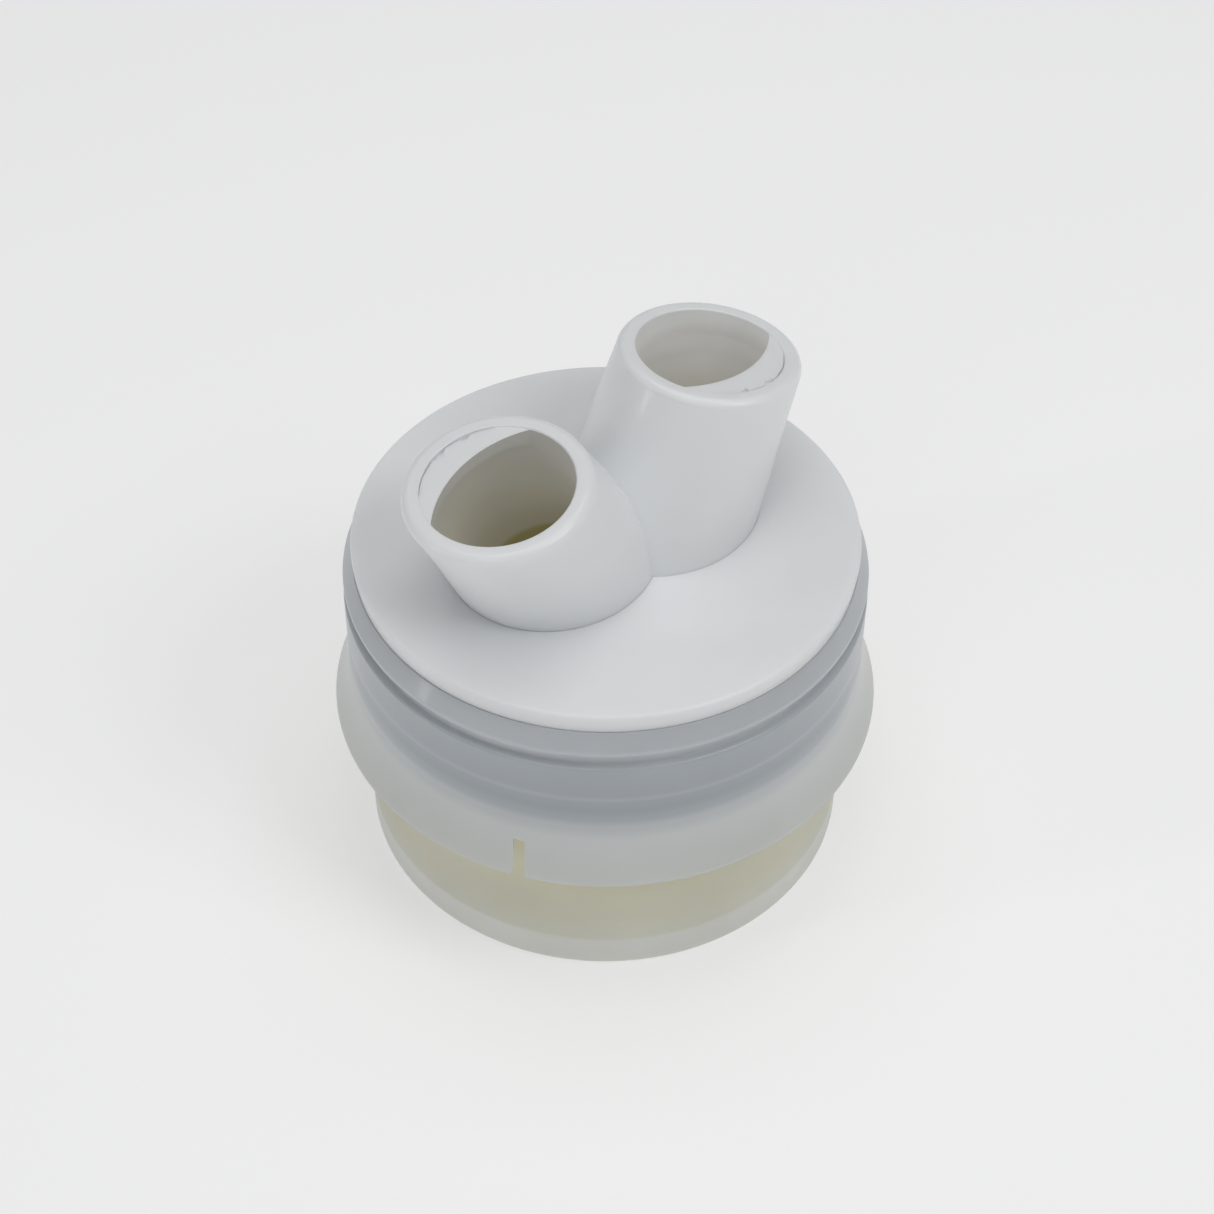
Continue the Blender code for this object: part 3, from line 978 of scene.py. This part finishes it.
def washer_body():
    thick = WASHER_TOP - WASHER_LOW
    return turned(
        "silicone_washer",
        [
            (WASHER_R - 0.2, WASHER_LOW + thick * 0.6, 0.2),
            (WASHER_R, WASHER_LOW + thick * 0.3, 0.15),
            (WASHER_R - 0.2, WASHER_LOW, 0.1),
            (GUIDE_R + GAP, WASHER_LOW, 0.1),
            (GUIDE_R + GAP, WASHER_TOP, 0.1),
            (POPPET_R - 1, WASHER_TOP, 0.3),
        ],
        SMALL_STEPS,
    )


def poppet_body():
    clip_top = CLIP_TOP + GAP
    clip_low = CLIP_LOW - GAP
    neck = STEM_R - CLIP_GROOVE_DEEP
    return turned(
        "valve_poppet",
        [
            (0, BUTTON_TOP),
            (BUTTON_R, BUTTON_TOP, 0.25),
            (BUTTON_BASE_R, POPPET_TOP, 0.3),
            (POPPET_R, POPPET_TOP, 0.4),
            (POPPET_R, POPPET_LOW, 0.2),
            (STEM_R, POPPET_LOW, 0.2),
            (STEM_R, clip_top, 0.08),
            (neck, clip_top, 0.08),
            (neck, clip_low, 0.08),
            (STEM_R, clip_low, 0.08),
            (STEM_R, STEM_END + 0.7, 0.2),
            (STEM_R - 0.8, STEM_END, 0.2),
            (0, STEM_END),
        ],
        SMALL_STEPS,
    )


def clip_body():
    """The stem's spring clip, open on one side where it snaps on."""
    inner = STEM_R - CLIP_GROOVE_DEEP + CLIP_CLEAR
    clip = turned(
        "steel_stem_clip",
        [
            (CLIP_R, CLIP_TOP, 0.1),
            (CLIP_R, CLIP_LOW, 0.1),
            (inner, CLIP_LOW, 0.1),
            (inner, CLIP_TOP, 0.1),
        ],
        SMALL_STEPS,
    )
    cutter = split_cutter(inner - 0.6, CLIP_R + 1, CLIP_MOUTH_W, CLIP_LOW - 1, CLIP_TOP + 1)
    combined(clip, cutter, "DIFFERENCE")
    return clip


# ---------------------------------------------------------------- stage

CAMERA_TURN = math.radians(44.5)
CAMERA_DOWN = math.radians(45.13)
CAMERA_ROLL = math.radians(0.39)
CAMERA_FAR = 10.0          # in disc radii, like the two offsets
CAMERA_RIGHT = 0.006
CAMERA_UP = -0.302
SENSOR = 36.0              # in mm, like the focal length
FOCAL = 75.85

# Level directions as the camera sees them.
RIGHT = Vector((math.cos(CAMERA_TURN), -math.sin(CAMERA_TURN), 0))
AWAY = Vector((math.sin(CAMERA_TURN), math.cos(CAMERA_TURN), 0))


def camera():
    """Look down at the disc's top from CAMERA_FAR away, then shift by the two offsets."""
    ahead = AWAY * math.cos(CAMERA_DOWN) - UP * math.sin(CAMERA_DOWN)
    over = AWAY * math.sin(CAMERA_DOWN) + UP * math.cos(CAMERA_DOWN)
    radius = DISC_R * MM
    place = UP * DISC_TOP * MM - ahead * CAMERA_FAR * radius
    place += RIGHT * CAMERA_RIGHT * radius + over * CAMERA_UP * radius
    data = bpy.data.cameras.new("camera")
    data.sensor_width = SENSOR
    data.lens = FOCAL
    obj = bpy.data.objects.new("camera", data)
    bpy.context.collection.objects.link(obj)
    axes = Matrix((RIGHT, over, -ahead)).transposed().to_4x4()
    obj.matrix_world = Matrix.Translation(place) @ axes @ Matrix.Rotation(CAMERA_ROLL, 4, "Z")
    bpy.context.scene.camera = obj


def floor():
    """A wide, pale sheet that glows a little, as a light table does."""
    bm = bmesh.new()
    bmesh.ops.create_grid(bm, x_segments=8, y_segments=8, size=4.0)
    sheet = finished("floor", bm)
    sheet.location.z = CAD_BOX[0][2] - 0.02 * MM
    finish = Finish("pale floor", Emission_Strength=0.42, Roughness=0.9)
    finish.shader.inputs["Base Color"].default_value = (0.60, 0.60, 0.60, 1.0)
    finish.shader.inputs["Emission Color"].default_value = (1.0, 1.0, 1.0, 1.0)
    finish.shader.inputs["Specular IOR Level"].default_value = 0.1
    sheet.data.materials.append(finish.material)


def softbox(name, towards, distance, size, watts):
    """An area light in the given direction from the object, aimed at it. Lengths are in metres."""
    data = bpy.data.lights.new(name, "AREA")
    data.shape = "RECTANGLE"
    data.size, data.size_y = size
    data.energy = watts
    obj = bpy.data.objects.new(name, data)
    bpy.context.collection.objects.link(obj)
    aim = UP * (CAD_BOX[0][2] + CAD_BOX[1][2]) / 2
    direction = towards.normalized()
    obj.location = aim + direction * distance
    obj.rotation_euler = direction.to_track_quat("Z", "Y").to_euler()


def lights():
    """A large soft light above, a key at the front right, a weak fill, and a thin strip at the left."""
    world = bpy.data.worlds.new("studio")
    world.use_nodes = True
    background = world.node_tree.nodes["Background"]
    background.inputs["Color"].default_value = (0.97, 0.985, 1.0, 1.0)
    background.inputs["Strength"].default_value = 0.21
    bpy.context.scene.world = world
    softbox("overhead", UP * 1.0 + AWAY * 0.12, 0.60, (0.50, 0.50), 1.21)
    softbox("key", RIGHT * 0.75 - AWAY * 0.45 + UP * 1.0, 0.60, (0.26, 0.26), 0.78)
    softbox("fill", UP * 0.9 - AWAY * 1.0 - RIGHT * 0.35, 0.60, (0.30, 0.30), 0.28)
    softbox("left_strip", -RIGHT * 1.0 - AWAY * 0.35 + UP * 0.35, 0.55, (0.035, 0.30), 0.24)
    bpy.context.scene.view_settings.view_transform = "Standard"


# ---------------------------------------------------------------- the whole

def build():
    """Make every piece. The cap comes painted, since its bores have finishes of their own, with painted
    shade and glow.
    """
    white = white_plastic()
    # The bores' finishes hold painted shade and a painted glow.
    right_bore_shade = bore_plastic("right bore painted shade", RIGHT_BORE_SHADE_STOPS)
    left_bore_shade = bore_plastic("left bore painted shade", LEFT_BORE_SHADE_STOPS)
    smoke = smoky_plastic("smoky plastic", COLLAR_TONE_AND_SHADE_STOPS)
    grey = smoky_plastic("grey ring plastic", RING_STOPS)
    cream = silicone("cream silicone", PLUG_TONE_AND_SHADE_STOPS)
    natural = natural_plastic()
    rubber = seal_rubber()
    steel = clip_steel()

    pieces = (
        (cap_body(white, (right_bore_shade, left_bore_shade)), None, "cap", "white_plastic", "port_cap"),
        (oring(), rubber, "cap", "seal_rubber", "cap_oring"),
        (ring_body(), grey, "ring", "smoky_plastic", "lip_ring"),
        (collar_body(), smoke, "collar", "smoky_plastic", "collar"),
        (plug_body(), cream, "base", "yellow_silicone", "plug"),
        (core_body(), natural, "base", "natural_plastic", "core"),
        (gasket_body(), rubber, "base", "seal_rubber", "seat_gasket"),
        (seat_body(), natural, "base", "natural_plastic", "valve_seat"),
        (snap_ring_body(), steel, "base", "clip_steel", "snap_ring"),
        (washer_body(), cream, "valve", "yellow_silicone", "valve_washer"),
        (poppet_body(), natural, "valve", "natural_plastic", "poppet"),
        (clip_body(), steel, "valve", "clip_steel", "stem_clip"),
    )
    for piece, finish, body, slot, node in pieces:
        if finish:
            piece.data.materials.clear()
            painted(piece, finish)
        dressed(piece, body, slot, node)


build()
floor()
camera()
lights()
